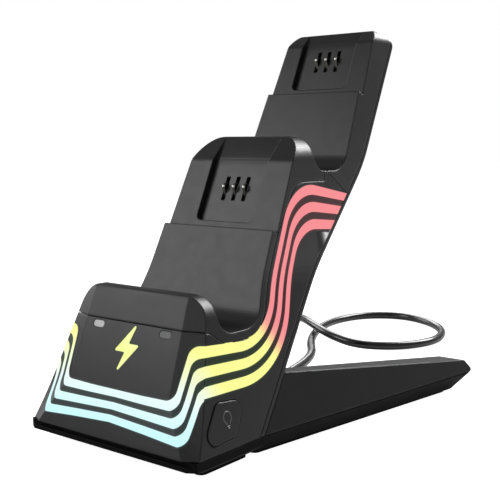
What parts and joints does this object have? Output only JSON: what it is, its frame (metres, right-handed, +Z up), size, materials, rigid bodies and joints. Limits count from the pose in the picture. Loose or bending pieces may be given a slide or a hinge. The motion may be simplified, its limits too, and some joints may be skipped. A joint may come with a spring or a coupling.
{
  "type": "game controller charging dock",
  "caption": "Stepped charging dock that holds game controllers in stacked cradles with sprung contacts, lit bands round its sides, splayed rear legs and a trailing lead.",
  "frame": {"origin": "on the standing surface under the middle of the dock's footprint, the lead left out", "axes": "+Z up, -Y towards the nose that faces the user, +X to the right seen from the front"},
  "size_m": [0.2499, 0.3751, 0.2025],
  "materials": {
    "shell": "satin, fine grain",
    "cradle": "satin",
    "cover": "matte",
    "light": "frosted, lit",
    "lens": "frosted, lit",
    "status": "clear",
    "carrier": "matte",
    "contact": "bright plated",
    "board": "lacquered board",
    "steel": "bright",
    "rubber": "matte",
    "cable": "semi-gloss"
  },
  "bodies": {
    "dock": {"main_housing": "shell", "lower_cradle": "cradle", "upper_cradle": "cradle", "back_cover": "cover", "emblem_lens": "lens", "floor_cover": "cover", "ballast_plate": "steel", "main_board": "board", "nose_lamp_board": "board", "right_lamp_board": "board", "left_lamp_board": "board", "board_screws": "steel", "mode_switch": "carrier", "right_leg": "shell", "left_leg": "shell", "right_leg_cover": "cover", "left_leg_cover": "cover", "leg_screws": "steel", "strain_relief": "cable", "cord": "cable", "cord_coil": "cable", "cord_tail": "cable", "cord_tie": "rubber", "plug_grip": "cable", "plug_shell": "steel", "plug_tongue": "carrier", "upper_light_band": "light", "middle_light_band": "light", "lower_light_band": "light", "left_status_light": "status", "right_status_light": "status", "right_front_foot": "rubber", "left_front_foot": "rubber", "right_leg_foot": "rubber", "left_leg_foot": "rubber", "lower_contact_carrier": "carrier", "lower_contact_board": "board", "lower_leaf_holder": "carrier", "upper_contact_carrier": "carrier", "upper_contact_board": "board", "upper_leaf_holder": "carrier"},
    "mode_button": {"mode_button": "shell"},
    "lower_left_contact": {"lower_left_contact": "contact"},
    "lower_middle_contact": {"lower_middle_contact": "contact"},
    "lower_right_contact": {"lower_right_contact": "contact"},
    "upper_left_contact": {"upper_left_contact": "contact"},
    "upper_middle_contact": {"upper_middle_contact": "contact"},
    "upper_right_contact": {"upper_right_contact": "contact"}
  },
  "joints": [
    {"name": "mode_button_press", "type": "slide", "parent": "dock", "child": "mode_button", "axis": [-0.9724, 0, -0.2334], "range_m": [0, 0.0006], "stiffness_N_per_m": 2500},
    {"name": "lower_left_contact_press", "type": "hinge", "parent": "dock", "child": "lower_left_contact", "pos_m": [-0.0065, -0.01597, 0.1076], "axis": [-1, 0, 0], "range_deg": [0, 12], "stiffness_Nm_per_rad": 0.016},
    {"name": "lower_middle_contact_press", "type": "hinge", "parent": "dock", "child": "lower_middle_contact", "pos_m": [0, -0.01597, 0.1076], "axis": [-1, 0, 0], "range_deg": [0, 12], "stiffness_Nm_per_rad": 0.016},
    {"name": "lower_right_contact_press", "type": "hinge", "parent": "dock", "child": "lower_right_contact", "pos_m": [0.0065, -0.01597, 0.1076], "axis": [-1, 0, 0], "range_deg": [0, 12], "stiffness_Nm_per_rad": 0.016},
    {"name": "upper_left_contact_press", "type": "hinge", "parent": "dock", "child": "upper_left_contact", "pos_m": [-0.0065, 0.06723, 0.17625], "axis": [-1, 0, 0], "range_deg": [0, 12], "stiffness_Nm_per_rad": 0.016},
    {"name": "upper_middle_contact_press", "type": "hinge", "parent": "dock", "child": "upper_middle_contact", "pos_m": [0, 0.06723, 0.17625], "axis": [-1, 0, 0], "range_deg": [0, 12], "stiffness_Nm_per_rad": 0.016},
    {"name": "upper_right_contact_press", "type": "hinge", "parent": "dock", "child": "upper_right_contact", "pos_m": [0.0065, 0.06723, 0.17625], "axis": [-1, 0, 0], "range_deg": [0, 12], "stiffness_Nm_per_rad": 0.016}
  ]
}
